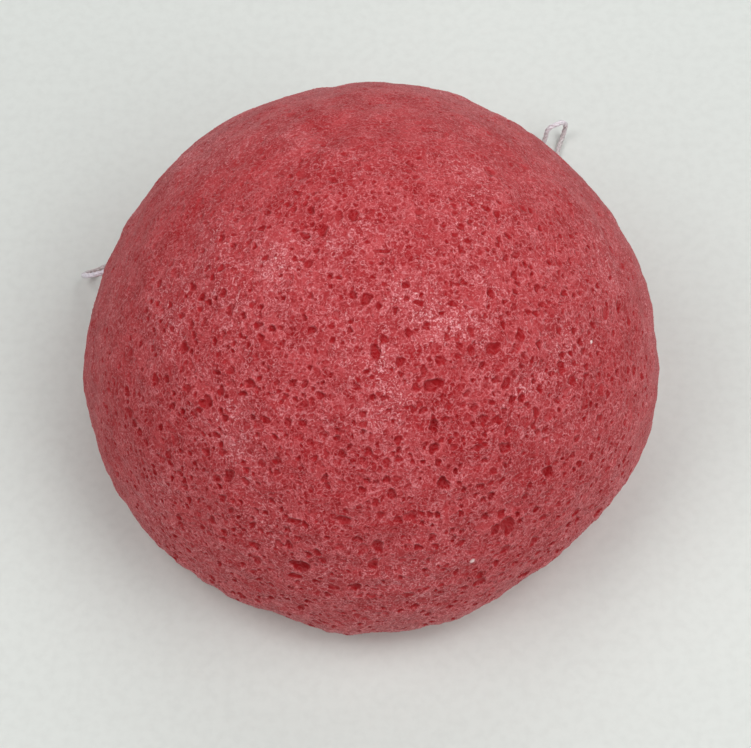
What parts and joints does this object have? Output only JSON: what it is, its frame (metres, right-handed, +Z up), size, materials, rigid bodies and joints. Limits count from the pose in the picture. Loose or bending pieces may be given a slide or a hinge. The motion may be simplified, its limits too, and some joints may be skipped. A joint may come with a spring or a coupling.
{
  "type": "konjac sponge",
  "caption": "Half-ball face sponge of pink konjac foam with a flat face, a rounded edge, open pores and a knotted white cotton hanging string through its back.",
  "frame": {"origin": "centre of the flat face that the sponge stands on", "axes": "+Z up through the crown of the half ball, +Y towards the side where the string lies, +X to the right as seen from the front"},
  "size_m": [0.0829, 0.0897, 0.048],
  "materials": {
    "konjac_foam": "matte",
    "cotton_string": "matte"
  },
  "bodies": {
    "root": {"sponge_body": "konjac_foam", "string_in_channel": "cotton_string", "string_left": "cotton_string", "string_right": "cotton_string", "string_knot": "cotton_string"}
  },
  "joints": []
}
